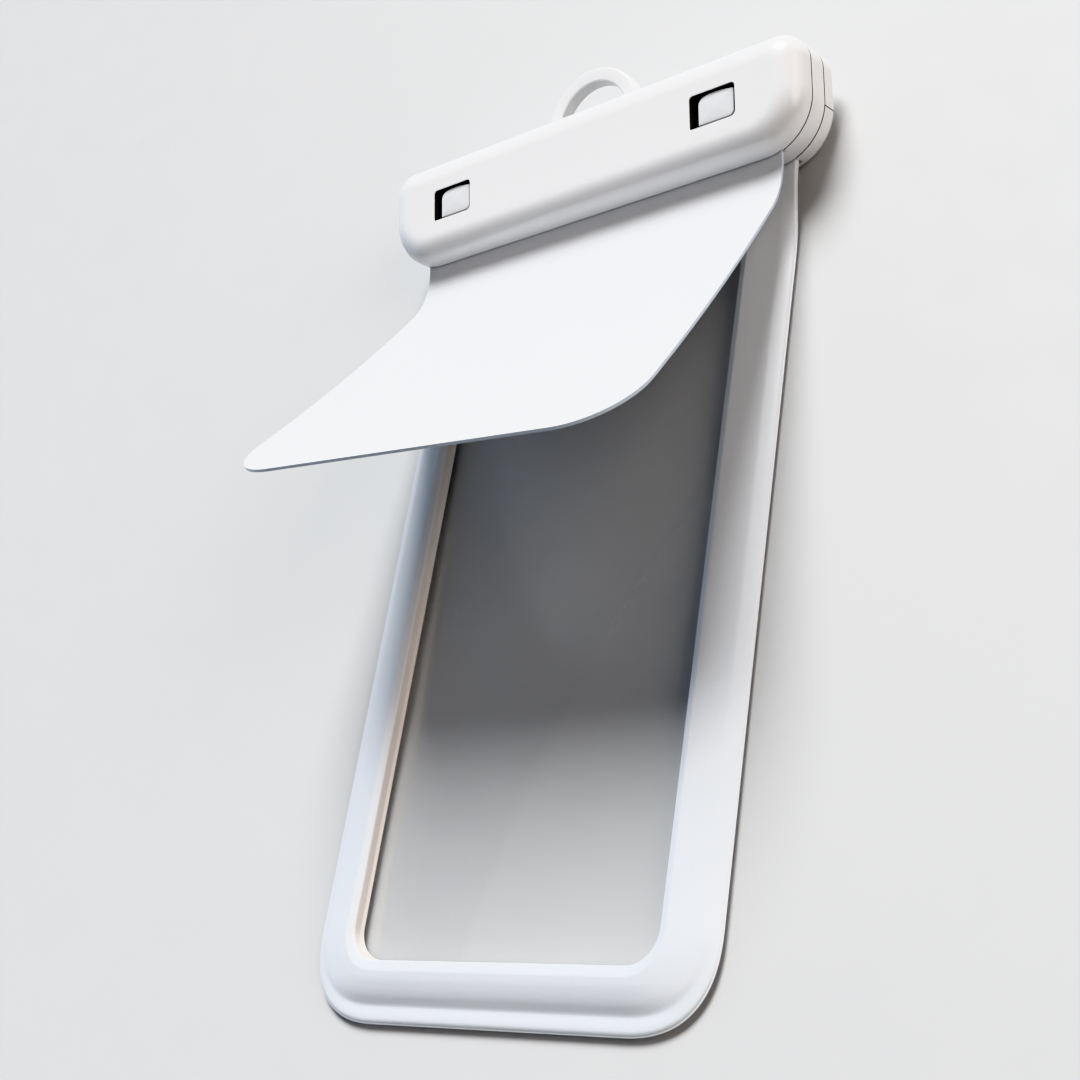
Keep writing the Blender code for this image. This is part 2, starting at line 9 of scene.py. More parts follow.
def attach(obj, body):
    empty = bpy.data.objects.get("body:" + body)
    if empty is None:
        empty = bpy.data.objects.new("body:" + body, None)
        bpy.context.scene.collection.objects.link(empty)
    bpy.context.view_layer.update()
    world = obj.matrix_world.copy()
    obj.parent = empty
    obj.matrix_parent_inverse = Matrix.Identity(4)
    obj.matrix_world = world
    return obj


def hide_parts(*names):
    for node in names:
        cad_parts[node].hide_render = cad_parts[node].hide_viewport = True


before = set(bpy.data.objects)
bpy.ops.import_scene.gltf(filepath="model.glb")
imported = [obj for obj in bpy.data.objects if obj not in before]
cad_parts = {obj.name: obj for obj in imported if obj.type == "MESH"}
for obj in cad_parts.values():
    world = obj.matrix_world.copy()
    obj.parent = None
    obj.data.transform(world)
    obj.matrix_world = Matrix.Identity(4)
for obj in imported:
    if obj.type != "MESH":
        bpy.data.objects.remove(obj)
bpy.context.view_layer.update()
MM = 0.001

# The clasp's own frame, as in the part: x along it, y up from its lower edge, z out of its front (mm)
TILT = math.radians(14.5)
SIN, COS = math.sin(TILT), math.cos(TILT)
HALF, HEIGHT = 66.0, 28.5
LOWER_CORNER, UPPER_CORNER = 13.5, 6.8
CORNER_SHARE = 0.78  # of an inset, by which a corner's radius shrinks
FRONT, MIDDLE_BACK, REAR_FACE, REAR_BACK = 7.5, -5.6, -5.9, -11.7
FRONT_ROUND, REAR_ROUND = 5.5, 2.6
LOOP_INNER, LOOP_BAND, LOOP_Y, LOOP_SET_BACK, LOOP_THICK = 11.0, 3.8, 26.9, 0.6, 4.1
TRAY_LENGTH = 203.6
LOOP_REACH = (LOOP_Y + LOOP_INNER + LOOP_BAND) * COS + (LOOP_SET_BACK + LOOP_THICK) * SIN
CLASP_Y = TRAY_LENGTH - (TRAY_LENGTH + LOOP_REACH) / 2
CLASP_Z = -REAR_BACK * COS - REAR_ROUND * (SIN + COS - 1)
TRAY_BOTTOM = CLASP_Y - TRAY_LENGTH
HINGE_Y, HINGE_Z = HEIGHT, -5.75
STEP_LINE = 12.0
SEAM_LIMITS = -6.2, 1.0
# Room for what reaches 8 mm into the clasp: the neck of the tray and the cover film
SEAT_X, SEAT_Y = (-57.5, 57.5), (-0.3, 8.3)
CLASP = Matrix.Translation((0, CLASP_Y * MM, CLASP_Z * MM)) @ Matrix.Rotation(TILT, 4, "X") @ Matrix.Scale(MM, 4)


def from_clasp(x, y, z):
    """Point of the clasp's frame in the part's, both in mm."""
    return Vector((x, CLASP_Y + y * COS - z * SIN, CLASP_Z + y * SIN + z * COS))


# Materials

def material(name, colour, roughness, grain=0.0, grain_scale=900.0, blotch=0.02, blotch_scale=14.0, spread=0.06):
    """Principled plastic with slow colour drift, uneven gloss and a fine moulded grain."""
    mat = bpy.data.materials.new(name)
    mat.use_nodes = True
    tree = mat.node_tree
    shader = tree.nodes["Principled BSDF"]
    place = tree.nodes.new("ShaderNodeTexCoord")
    slow = tree.nodes.new("ShaderNodeTexNoise")
    slow.inputs["Scale"].default_value = blotch_scale
    slow.inputs["Detail"].default_value = 3.0
    tree.links.new(place.outputs["Object"], slow.inputs["Vector"])
    tint = tree.nodes.new("ShaderNodeValToRGB")
    tint.color_ramp.elements[0].position = 0.3
    tint.color_ramp.elements[1].position = 0.7
    tint.color_ramp.elements[0].color = (*[c * (1 - blotch) for c in colour], 1)
    tint.color_ramp.elements[1].color = (*[min(1, c * (1 + blotch * 0.5)) for c in colour], 1)
    tree.links.new(slow.outputs["Fac"], tint.inputs["Fac"])
    tree.links.new(tint.outputs["Color"], shader.inputs["Base Color"])
    wear = tree.nodes.new("ShaderNodeTexNoise")
    wear.inputs["Scale"].default_value = blotch_scale * 6
    wear.inputs["Detail"].default_value = 5.0
    tree.links.new(place.outputs["Object"], wear.inputs["Vector"])
    gloss = tree.nodes.new("ShaderNodeMapRange")
    gloss.inputs["From Min"].default_value = 0.3
    gloss.inputs["From Max"].default_value = 0.7
    gloss.inputs["To Min"].default_value = roughness - spread
    gloss.inputs["To Max"].default_value = roughness + spread
    tree.links.new(wear.outputs["Fac"], gloss.inputs["Value"])
    tree.links.new(gloss.outputs["Result"], shader.inputs["Roughness"])
    if grain:
        fine = tree.nodes.new("ShaderNodeTexNoise")
        fine.inputs["Scale"].default_value = grain_scale
        fine.inputs["Detail"].default_value = 2.0
        tree.links.new(place.outputs["Object"], fine.inputs["Vector"])
        bump = tree.nodes.new("ShaderNodeBump")
        bump.inputs["Strength"].default_value = grain
        bump.inputs["Distance"].default_value = 0.0002
        tree.links.new(fine.outputs["Fac"], bump.inputs["Height"])
        tree.links.new(bump.outputs["Normal"], shader.inputs["Normal"])
    return mat


def setting(mat, **values):
    """The material, with more of its shader's sockets set by name."""
    shader = mat.node_tree.nodes["Principled BSDF"]
    for key, value in values.items():
        shader.inputs[key.replace("_", " ")].default_value = value
    return mat


hard = setting(material("hard_white_plastic", (0.78, 0.785, 0.795), 0.2, 0.05, 1400),
               Coat_Weight=0.25, Coat_Roughness=0.12)
latch_face = setting(material("latch_face_plastic", (0.70, 0.71, 0.73), 0.12), Coat_Weight=0.5, Coat_Roughness=0.06)
# Near black that stands in for shade: painted shade on the window walls, the latches' sides and what lies behind them
window_painted_shade = material("painted_window_shade", (0.03, 0.03, 0.032), 0.45, 0.1)
# Near black that stands in for the shade in the gaps between the clasp's layers: painted shade
seam_painted_shade = material("seam_painted_shade", (0.012, 0.012, 0.013), 0.7)
# Grey for the loop's inner wall: painted shade
loop_wall_painted_shade = material("loop_inner_wall_painted_shade", (0.42, 0.425, 0.43), 0.3, 0.05, 1400)
# Darker, warmer grey for the rim's inner wall: painted shade
rim_wall_painted_shade = material("rim_inner_wall_painted_shade", (0.70, 0.675, 0.66), 0.22, 0.1, 1100)
soft = setting(material("soft_white_rim", (0.67, 0.70, 0.74), 0.36, 0.12, 1100), Subsurface_Weight=0.15,
               Subsurface_Radius=(1.0, 0.9, 0.85), Subsurface_Scale=0.0015, Sheen_Weight=0.1)
cover = setting(material("white_cover_film", (0.66, 0.67, 0.69), 0.34, 0.1, 1600, 0.015), Sheen_Weight=0.08)
# Blue-grey for the cover film's cut edge: painted shade
cover_edge_painted_shade = material("cover_film_edge_painted_shade", (0.55, 0.62, 0.72), 0.3)
clear = setting(material("clear_film", (0.95, 0.97, 0.98), 0.2, 0.04, 500, 0.01, 10.0, 0.05),
                Transmission_Weight=1.0, IOR=1.45, Alpha=0.16)
rubber = material("grey_silicone", (0.33, 0.34, 0.36), 0.55, 0.2, 800)
steel = setting(material("steel", (0.62, 0.62, 0.63), 0.28, 0.15, 1200), Metallic=1.0)


# Mesh helpers

def link(name, mesh, mats, angle=30.0):
    """A smooth object from a mesh, with edges sharper than angle kept."""
    thing = bpy.data.objects.new(name, mesh)
    bpy.context.scene.collection.objects.link(thing)
    for mat in mats:
        mesh.materials.append(mat)
    mesh.shade_smooth()
    mesh.set_sharp_from_angle(angle=math.radians(angle))
    return thing


def close(name, shape):
    """A mesh from a finished bmesh, its faces turned outwards."""
    bmesh.ops.recalc_face_normals(shape, faces=shape.faces)
    mesh = bpy.data.meshes.new(name)
    shape.to_mesh(mesh)
    shape.free()
    return mesh


def loft(name, rings):
    """A skin over closed rings of points, closed at both ends."""
    shape = bmesh.new()
    laid = [[shape.verts.new(p) for p in ring] for ring in rings]
    for a, b in zip(laid, laid[1:]):
        for i in range(len(a)):
            j = (i + 1) % len(a)
            shape.faces.new((a[i], a[j], b[j], b[i]))
    shape.faces.new(list(reversed(laid[0])))
    shape.faces.new(laid[-1])
    return close(name, shape)


def plate_outline(width, height, low, high, inset=0.0, steps=24):
    """Closed outline with two round lower and two round upper corners, drawn in by inset."""
    points = []
    for radius, side, upper, start in ((low, -1, 0, 180), (low, 1, 0, 270), (high, 1, 1, 0), (high, -1, 1, 90)):
        r = radius - CORNER_SHARE * inset
        x, y = side * (width - inset - r), height - inset - r if upper else inset + r
        for i in range(steps + 1):
            a = math.radians(start + 90 * i / steps)
            points.append((x + r * math.cos(a), y + r * math.sin(a)))
    return points


def depth(x, y):
    """How far a point lies inside the clasp's outline."""
    radius = LOWER_CORNER if y < HEIGHT / 2 else UPPER_CORNER
    dx, dy = abs(x) - HALF + radius, abs(y - HEIGHT / 2) - HEIGHT / 2 + radius
    return radius - math.hypot(max(dx, 0), max(dy, 0)) - min(max(dx, dy), 0)


def paint(mesh, index, test):
    """Give another material to the faces that pass a test of centre and normal."""
    for polygon in mesh.polygons:
        if test(polygon.center, polygon.normal):
            polygon.material_index = index


def seam_face(centre, normal):
    """The narrow border of a mating face, painted near black as the shade in the gap between two layers."""
    return abs(normal.z) > 0.9 and depth(centre.x, centre.y) < 1.0 and SEAM_LIMITS[0] < centre.z < SEAM_LIMITS[1]


def seam_edge(z, way):
    """Softened edge of a mating face at z, from the face to the side wall, as (inset, z)."""
    return [(0.9, z), (0.14, z), (0.04, z + way * 0.04), (0.0, z + way * 0.16)]


def rounded(inset_to, z_from, z_to, steps=12):
    """Quarter of an ellipse from the side wall at z_from to the face at z_to, as (inset, z)."""
    return [(inset_to * (1 - math.cos(a)), z_from + (z_to - z_from) * math.sin(a))
            for a in (math.pi / 2 * i / steps for i in range(steps + 1))]


def clasp_slab(name, profile):
    """A layer of the clasp: the common outline drawn in along a profile of (inset, z)."""
    return loft(name, [[(x, y, z) for x, y in plate_outline(HALF, HEIGHT, LOWER_CORNER, UPPER_CORNER, inset)]
                       for inset, z in profile])


def box_mesh(name, x, y, z):
    """Box between the given limits."""
    shape = bmesh.new()
    bmesh.ops.create_cube(shape, size=1)
    for v in shape.verts:
        v.co = Vector([(low + high) / 2 + at * (high - low) for at, (low, high) in zip(v.co, (x, y, z))])
    return close(name, shape)


def rod_mesh(name, radius, x, edge=0.0, steps=48):
    """Rod on the hinge's axis, between two places along the clasp."""
    stations = [(x[0], radius - edge), (x[0] + edge, radius), (x[1] - edge, radius), (x[1], radius - edge)]
    if not edge:
        stations = [(x[0], radius), (x[1], radius)]
    angles = [2 * math.pi * i / steps for i in range(steps)]
    return loft(name, [[(s, HINGE_Y + r * math.cos(a), HINGE_Z + r * math.sin(a)) for a in angles]
                       for s, r in stations])


def cut_away(mesh, tools):
    """The mesh less all tools."""
    piece = bpy.data.objects.new("work", mesh)
    bpy.context.scene.collection.objects.link(piece)
    used = []
    for tool in tools:
        cutter = bpy.data.objects.new("cutter", tool)
        bpy.context.scene.collection.objects.link(cutter)
        step = piece.modifiers.new("cut", "BOOLEAN")
        step.operation, step.object, step.solver = "DIFFERENCE", cutter, "EXACT"
        used.append(cutter)
    graph = bpy.context.evaluated_depsgraph_get()
    result = bpy.data.meshes.new_from_object(piece.evaluated_get(graph))
    for thing in used + [piece]:
        bpy.data.objects.remove(thing, do_unlink=True)
    return result


def joined(name, meshes):
    """One mesh of several, put in its place in the world."""
    shape = bmesh.new()
    for mesh in meshes:
        shape.from_mesh(mesh)
    shape.transform(CLASP)
    result = bpy.data.meshes.new(name)
    shape.to_mesh(result)
    shape.free()
    return result


# Clasp

WINDOWS = ((-42.5, "left"), (42.5, "right"))
WINDOW_Y, WINDOW = 14.4, (13.1, 8.7)
WINDOW_CORNERS = 0.35, 1.4, 1.1, 1.0
KNUCKLES = {"rear": [(20, 27), (49, 56)], "front": [(27.4, 48.6)]}
KNUCKLE_RADIUS, KNUCKLE_ROOM, KNUCKLE_GAP = 2.3, 2.6, 0.4
LOOP_EDGE, LOOP_FILLET = 0.55, 0.8


def window_outline(x, inset, steps=10):
    """Rounded window at x, with the corners lower left, lower right, upper right and upper left."""
    points = []
    signs = [(-1, -1, 180), (1, -1, 270), (1, 1, 0), (-1, 1, 90)]
    for radius, (sx, sy, start) in zip(WINDOW_CORNERS, signs):
        cx, cy = x + sx * (WINDOW[0] / 2 - radius), WINDOW_Y + sy * (WINDOW[1] / 2 - radius)
        for i in range(steps + 1):
            a = math.radians(start + 90 * i / steps)
            points.append((cx + (radius - inset) * math.cos(a), cy + (radius - inset) * math.sin(a)))
    return points


def knuckle_spans(jaw):
    """Where a jaw's knuckles start and end along the clasp, on both halves."""
    return KNUCKLES[jaw] + [(-b, -a) for a, b in KNUCKLES[jaw]]


def hinge_tools(own, other):
    """Knuckles of one jaw, and the room that it leaves for the other's."""
    knuckles = [rod_mesh("knuckle", KNUCKLE_RADIUS, span, edge=0.25) for span in knuckle_spans(own)]
    room = [rod_mesh("room", KNUCKLE_ROOM, (a - KNUCKLE_GAP, b + KNUCKLE_GAP)) for a, b in knuckle_spans(other)]
    return knuckles, room


def latch_slot(x, z):
    """Room for the tongue of the latch at x, and for its slide."""
    return box_mesh("slot", (x - 5.4, x + 3.8), (13.9, 18.1), z)


def window_wall(centre, normal):
    """The walls of the windows, below their rounded edge, which get painted shade."""
    near_x = min(abs(centre.x - x) for x, _ in WINDOWS) < WINDOW[0] / 2 + 0.1
    near_y = abs(centre.y - WINDOW_Y) < WINDOW[1] / 2 + 0.1
    return near_x and near_y and abs(normal.z) < 0.5 and 2 < centre.z < FRONT - 0.2


def build_front():
    """Front moulding, with crisp windows whose walls are painted near black as shade."""
    profile = seam_edge(0.15, 1) + rounded(FRONT_ROUND + 1.1, FRONT - FRONT_ROUND, FRONT, 22)
    profile += [(FRONT_ROUND + 1.2, FRONT)]
    mesh = clasp_slab("front_plate", profile)
    tools = [box_mesh("seat", SEAT_X, SEAT_Y, (-0.2, 0.7))]
    rings = [(0, 3.6), (0, FRONT - 0.18), (-0.05, FRONT - 0.05), (-0.16, FRONT + 0.01), (-1.1, FRONT + 0.95)]
    for x, _ in WINDOWS:
        tools.append(loft("window", [[(px, py, z) for px, py in window_outline(x, inset)] for inset, z in rings]))
    mesh = cut_away(mesh, tools)
    # Painted shade: the mating border, and the seat faces where the cover film comes out, go near black
    paint(mesh, 1, seam_face)
    paint(mesh, 1, lambda c, n: abs(n.z) > 0.9 and c.z < 1 and c.y < 8.4)
    # Painted shade: the window walls go near black
    paint(mesh, 2, window_wall)
    mesh.transform(CLASP)
    plate = link("clasp_front_plate", mesh, [hard, seam_painted_shade, window_painted_shade])
    plate.modifiers.new("flat_face", "WEIGHTED_NORMAL").keep_sharp = True
    return plate


def drawn_in(points, distance):
    """A closed outline, counterclockwise, moved inwards."""
    result = []
    for i, (x, y) in enumerate(points):
        before = Vector((x - points[i - 1][0], y - points[i - 1][1])).normalized()
        nxt = points[(i + 1) % len(points)]
        after = Vector((nxt[0] - x, nxt[1] - y)).normalized()
        inward = Vector((-before.y - after.y, before.x + after.x))
        inward *= distance * 2 / max(inward.length_squared, 1.2)
        result.append((x + inward.x, y + inward.y))
    return result


def latch_outline(left, low):
    """Face of a latch: square lower left, round lower right, an arched top with a soft left corner."""
    points = [(0, 0.2), (0.06, 0.06), (0.2, 0), (3, 0), (6, 0)]
    points += [(8.9 + 1.3 * math.sin(a), 1.3 - 1.3 * math.cos(a)) for a in (math.pi / 16 * i for i in range(9))]
    points += [(10.2, 3.2), (10.2, 5.2), (10.2, 6.95), (10.13, 7.1), (9.95, 7.18), (9.2, 7.33), (8.4, 7.47),
               (7.5, 7.6), (6.5, 7.7), (5.5, 7.77), (4.5, 7.8), (3.5, 7.77), (2.7, 7.69), (2.0, 7.55), (1.4, 7.33),
               (0.9, 7.03), (0.5, 6.65), (0.2, 6.15), (0.04, 5.6), (0, 5.0), (0, 3.4), (0, 1.8)]
    return [(left + x, low + y) for x, y in points]


def build_latch(x, side):
    """Crowned face with a thin bevel; its sides, and the carrier and tongue behind it, painted near black as shade in
    the window.
    """
    outline = latch_outline(x - WINDOW[0] / 2 + 2.1, WINDOW_Y - WINDOW[1] / 2 + 0.55)
    rings = [(0, 3.6), (0, 6.5), (0.05, 6.64), (0.14, 6.72), (0.28, 6.76)]
    shells = [[(px, py, z) for px, py in drawn_in(outline, inset)] for inset, z in rings]
    middle_x, middle_y = x + 0.65, WINDOW_Y + 0.1
    flat = shells[-1]
    for share, z in ((0.9, 6.79), (0.75, 6.84), (0.5, 6.89), (0.25, 6.92), (0.05, 6.93)):
        shells.append([(middle_x + (px - middle_x) * share, middle_y + (py - middle_y) * share, z)
                       for px, py, _ in flat])
    face = loft("face", shells)
    carrier = box_mesh("carrier", (x - 6.35, x + 7.95), (8.95, 19.85), (3.3, 4.6))
    tongue = box_mesh("tongue", (x - 3, x + 3), (14.7, 17.3), (-8.6, 3.4))
    mesh = joined(f"latch_{side}", [face, carrier, tongue])
    # Painted shade: all but the latch's top face and bevel go near black
    for polygon in mesh.polygons:
        polygon.material_index = 0 if len(outline) <= polygon.index < len(face.polygons) else 1
    return link(f"slide_latch_{side}", mesh, [latch_face, window_painted_shade], 50)


def build_middle():
    """Middle moulding, with the seat of the cover film, the gasket's groove, its knuckles and the loop, whose inner
    wall is painted grey as shade.
    """
    mesh = clasp_slab("middle_plate", seam_edge(MIDDLE_BACK, 1) + seam_edge(-0.15, -1)[::-1])
    cuts = [box_mesh("seat", SEAT_X, SEAT_Y, (-0.7, 0)), box_mesh("groove", SEAT_X, (3.1, 5.9), (-6, -4.37))]
    cuts += [latch_slot(x, (-6, 0)) for x, _ in WINDOWS]
    knuckles, room = hinge_tools("front", "rear")
    mesh = cut_away(mesh, cuts + room)
    # Painted shade: the mating border goes near black
    paint(mesh, 1, seam_face)
    loop = loop_mesh()
    # Painted shade: the loop's inner wall goes grey
    paint(loop, 2, lambda c, n: math.hypot(c.x, c.y - LOOP_Y) < LOOP_INNER + 0.1)
    return link("clasp_middle_plate", joined("middle", [mesh, *knuckles, loop]), [hard, seam_painted_shade, loop_wall_painted_shade])


def loop_mesh():
    """Half-round band with soft edges, with a small fillet into the clasp's top edge."""
    rings = []
    top, low = -LOOP_SET_BACK, -LOOP_SET_BACK - LOOP_THICK
    for step in range(65):
        angle = math.radians(-14 + 208 * step / 64)
        out_y = math.sin(angle)
        section = []
        near = max(0.0, 1 - abs(LOOP_Y + (LOOP_INNER + LOOP_BAND / 2) * out_y - HEIGHT) / 2.2)
        flare = LOOP_FILLET * near * near
        corners = [(LOOP_INNER - flare, low, 180), (LOOP_INNER + LOOP_BAND + flare, low, 270),
                   (LOOP_INNER + LOOP_BAND + flare, top, 0), (LOOP_INNER - flare, top, 90)]
        for radius, z, start in corners:
            cx = radius + (LOOP_EDGE if radius < LOOP_INNER + 1 else -LOOP_EDGE)
            cz = z + (LOOP_EDGE if z == low else -LOOP_EDGE)
            for i in range(7):
                a = math.radians(start + 90 * i / 6)
                section.append((cx + LOOP_EDGE * math.cos(a), cz + LOOP_EDGE * math.sin(a)))
        rings.append([(r * math.cos(angle), LOOP_Y + r * out_y, z) for r, z in section])
    return loft("loop", rings)


def build_rear():
    """Neck strip and rear cover, split along the step line."""
    profile = [(REAR_ROUND + 1.5, REAR_BACK)] + rounded(REAR_ROUND, REAR_BACK + REAR_ROUND, REAR_BACK)[::-1]
    profile += seam_edge(REAR_FACE, -1)[::-1]
    whole_x, whole_z = (-HALF - 1, HALF + 1), (-13, -5)
    strip = cut_away(clasp_slab("strip", profile), [box_mesh("rest", whole_x, (STEP_LINE - 0.2, 30), whole_z),
                                                    box_mesh("neck", SEAT_X, SEAT_Y, (-8.6, -5.5))])
    knuckles, room = hinge_tools("rear", "front")
    pockets = [latch_slot(x, (-8.9, -5.5)) for x, _ in WINDOWS]
    back = cut_away(clasp_slab("cover", profile),
                    [box_mesh("rest", whole_x, (-1, STEP_LINE + 0.1), whole_z), *room, *pockets])
    for mesh in (strip, back):
        # Painted shade: the mating border and the faces of the step line go near black
        paint(mesh, 1, seam_face)
        paint(mesh, 1, lambda c, n: abs(n.y) > 0.9 and STEP_LINE - 0.3 < c.y < STEP_LINE + 0.2)
    strip.transform(CLASP)
    return (link("clasp_neck_strip", strip, [hard, seam_painted_shade]),
            link("clasp_rear_cover", joined("cover", [back, *knuckles]), [hard, seam_painted_shade]))


front = build_front()
latches = [build_latch(x, side) for x, side in WINDOWS]
middle = build_middle()
strip, rear = build_rear()


# Soft rim

TRAY_HALF, BAY_HALF, BAY_CORNER, BOTTOM_RIM, FILL = 57.2, 44.0, 8.0, 13.6, 1.3
FILM, RIM_HEIGHT, UNDER, NECK_RUN = 0.8, 3.9, 1.1, 22.0
RIM_WIDTH = TRAY_HALF - BAY_HALF
NECK_UNDER = REAR_FACE - 1.0
RING_PARTS = 4


def smooth_ring(points):
    """Closed Catmull-Rom curve through points."""
    out = []
    n = len(points)
    for i in range(n):
        p0, p1, p2, p3 = (points[(i + k) % n] for k in (-1, 0, 1, 2))
        for j in range(RING_PARTS):
            t = j / RING_PARTS
            out.append(0.5 * (2 * p1 + (p2 - p0) * t + (2 * p0 - 5 * p1 + 4 * p2 - p3) * t * t
                              + (3 * p1 - p0 - 3 * p2 + p3) * t * t * t))
    return out


# Sections as (share of the rim's width, height): wall, lip, crest, face, flank, flange, underside
SIDE = [(0.0, 0.04), (0.0, 0.30), (0.0, 0.68), (0.01, 0.82), (0.04, 0.885), (0.12, 0.982), (0.15, 1.0), (0.18, 0.984),
        (0.30, 0.905), (0.44, 0.79), (0.60, 0.655), (0.735, 0.54), (0.79, 0.47), (0.86, 0.35), (0.93, 0.235),
        (0.985, 0.15), (1.0, 0.08), (0.99, 0.01), (0.5, 0.0)]
BOTTOM = [(0.0, 0.04), (0.0, 0.30), (0.0, 0.64), (0.012, 0.80), (0.05, 0.87), (0.155, 0.985), (0.185, 1.0),
          (0.215, 0.984), (0.33, 0.885), (0.46, 0.725), (0.57, 0.55), (0.66, 0.36), (0.715, 0.25), (0.765, 0.205),
          (0.87, 0.22), (0.95, 0.18), (1.0, 0.07), (0.98, 0.0), (0.5, 0.0)]
NECK = [(0.0, 0.08), (0.0, 0.3), (0.0, 0.7), (0.01, 0.88), (0.04, 0.96), (0.12, 1.0), (0.15, 1.0), (0.18, 1.0),
        (0.30, 1.0), (0.44, 1.0), (0.60, 1.0), (0.735, 1.0), (0.79, 1.0), (0.86, 1.0), (0.93, 0.97), (0.985, 0.85),
        (1.0, 0.5), (0.99, 0.05), (0.5, 0.0)]


def rim_rings():
    """Sections of the left half, from inside the clasp down the side, round the corner and to the middle."""
    rings = []
    for y in (8.0, 5.0, 2.0, 0.0):  # inside the clasp
        rings.append([from_clasp(-BAY_HALF - RIM_WIDTH * s, y, NECK_UNDER + h) for s, h in NECK])
    last = rings[-1]
    start_y = CLASP_Y - NECK_RUN
    for step in range(1, 15):
        along = step / 14
        blend = along * along * (3 - 2 * along)
        ring = []
        for (s, h), neck in zip(SIDE, last):
            point = neck.lerp(Vector((-BAY_HALF - RIM_WIDTH * s, 0, UNDER + h * RIM_HEIGHT)), blend)
            point.y = neck.y + (start_y - neck.y) * along
            ring.append(point)
        rings.append(ring)
    low_y = TRAY_BOTTOM + BOTTOM_RIM + BAY_CORNER
    for step in range(1, 40):
        y = start_y + (low_y - start_y) * step / 40
        rings.append([Vector((-BAY_HALF - RIM_WIDTH * s, y, UNDER + h * RIM_HEIGHT)) for s, h in SIDE])
    centre = Vector((BAY_CORNER - BAY_HALF, low_y, UNDER))
    for step in range(0, 31):
        share = step / 30
        eased = share * share * (3 - 2 * share)
        angle = math.pi + math.pi / 2 * share
        width = RIM_WIDTH + (BOTTOM_RIM - RIM_WIDTH) * eased + FILL * math.sin(2 * angle) ** 2
        out = Vector((math.cos(angle), math.sin(angle), 0))
        ring = []
        for (a, b), (c, d) in zip(SIDE, BOTTOM):
            s, h = a + (c - a) * eased, (b + (d - b) * eased) * RIM_HEIGHT
            ring.append(centre + out * (BAY_CORNER + width * s) + Vector((0, 0, h)))
        rings.append(ring)
    for step in range(1, 13):
        x = (BAY_CORNER - BAY_HALF) * (1 - step / 13)
        rings.append([Vector((x, TRAY_BOTTOM + BOTTOM_RIM * (1 - s), UNDER + h * RIM_HEIGHT)) for s, h in BOTTOM])
    return rings


def build_rim():
    """The rim all round, its inner wall painted a darker, warmer grey as shade."""
    half = [smooth_ring(ring) for ring in rim_rings()]
    other = [[Vector((-p.x, p.y, p.z)) for p in ring] for ring in reversed(half)]
    rings = [[p * MM for p in ring] for ring in half + other]
    mesh = loft("rim", rings)
    count = len(rings[0])
    # Painted shade: the faces of the inner wall take the darker grey
    for polygon in mesh.polygons[:count * (len(rings) - 1)]:
        if polygon.index % count < 3 * RING_PARTS - 2:
            polygon.material_index = 1
    return link("padded_tray_rim", mesh, [soft, rim_wall_painted_shade], 60)


rim = build_rim()


# Films

def sheet_grid(name, across, rows, place, mats, rim_slot=None):
    """A sheet of film laid by place(x, share, cut), with softened edges."""
    shape = bmesh.new()
    grid = [[shape.verts.new(place(x, row / rows, cut) * MM) for row in range(rows + 1)] for x, cut in across]
    for a, b in zip(grid, grid[1:]):
        for i in range(rows):
            shape.faces.new((a[i], a[i + 1], b[i + 1], b[i]))
    mesh = close(name, shape)
    thing = link(name, mesh, mats, 50)
    step = thing.modifiers.new("thickness", "SOLIDIFY")
    step.thickness, step.offset = FILM * MM, 0.0
    if rim_slot:
        step.material_offset_rim = rim_slot
    edge = thing.modifiers.new("edge", "BEVEL")
    edge.width, edge.segments = FILM * 0.3 * MM, 2
    edge.limit_method, edge.angle_limit = "ANGLE", math.radians(60)
    graph = bpy.context.evaluated_depsgraph_get()
    fixed = bpy.data.meshes.new_from_object(thing.evaluated_get(graph))
    thing.modifiers.clear()
    thing.data = fixed
    fixed.set_sharp_from_angle(angle=math.radians(50))
    return thing


def columns(half, corner, steps, middle):
    """Places across a sheet, as (x, what the round corner cuts off the length there)."""
    edge = [(half - corner * (1 - math.sin(a)), corner * (1 - math.cos(a)))
            for a in (math.pi / 2 * i / steps for i in range(steps, 0, -1))]
    straight = half - corner
    flat = [(straight - 2 * straight * i / middle, 0.0) for i in range(middle + 1)]
    return edge + flat + [(-x, cut) for x, cut in reversed(edge)]


FLAP_LENGTH, FLAP_HALF, FLAP_CORNER, FLAP_BEND = 106.2, 57.2, 16.8, 23.3
HELD = 8.0
FLAP_RISE, FLAP_TWIST, FLAP_CURL = math.radians(28.6), math.radians(2.9), math.radians(6.5) / 80


def flap_point(x, s):
    """Point of the cover film at x, s from the clasp's edge: a bend out of the clasp, then a slow curl."""
    if s <= 0:
        return from_clasp(x, -s, 0)
    rise = FLAP_RISE - FLAP_TWIST * x / FLAP_HALF
    turn = min(s / FLAP_BEND, TILT + rise)
    heading = turn - TILT
    out = FLAP_BEND * (math.sin(heading) + SIN)
    up = FLAP_BEND * (COS - math.cos(heading))
    rest = s - FLAP_BEND * turn
    bow = FLAP_CURL * rest * rest / 2
    out += rest * math.cos(rise) - bow * math.sin(rise)
    up += rest * math.sin(rise) + bow * math.cos(rise)
    return Vector((x, CLASP_Y - out, CLASP_Z + up))


def build_flap():
    """Cover film, held in the clasp and free below it."""
    def place(x, share, cut):
        return flap_point(x, share * (FLAP_LENGTH - cut + HELD) - HELD)

    # The film's edges take the blue-grey painted shade
    return sheet_grid("cover_film", columns(FLAP_HALF, FLAP_CORNER, 14, 28), 84, place, [cover, cover_edge_painted_shade], 1)


